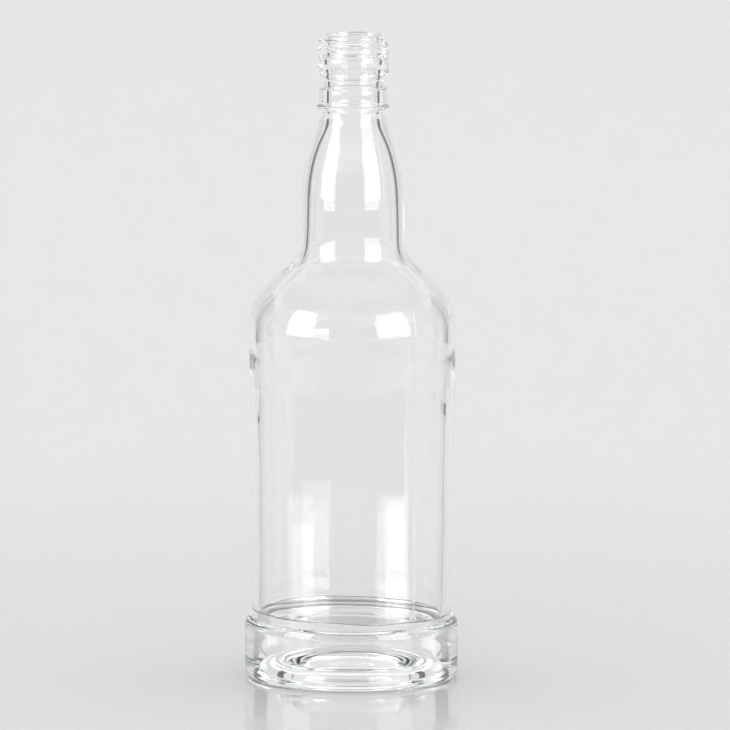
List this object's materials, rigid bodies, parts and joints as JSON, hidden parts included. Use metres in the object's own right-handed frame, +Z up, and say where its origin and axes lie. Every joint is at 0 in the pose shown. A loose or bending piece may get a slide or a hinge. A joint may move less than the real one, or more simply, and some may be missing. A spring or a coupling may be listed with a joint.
{
  "type": "liquor bottle",
  "caption": "Empty clear glass spirits bottle: heavy stepped foot with a punt, straight label panel, round shoulders, flared neck and a screw finish. It holds a drink.",
  "frame": {"origin": "centre of the ring that the bottle stands on, at the surface under it", "axes": "+Z up along the bottle's axis, towards the mouth. The thread's top end lies 20 degrees round from +X towards +Y."},
  "size_m": [0.092, 0.092, 0.2782],
  "materials": {
    "clear_glass": "polished clear flint glass, very faintly green where it is thick"
  },
  "bodies": {
    "root": {"glass_bottle": "clear_glass"}
  },
  "joints": []
}
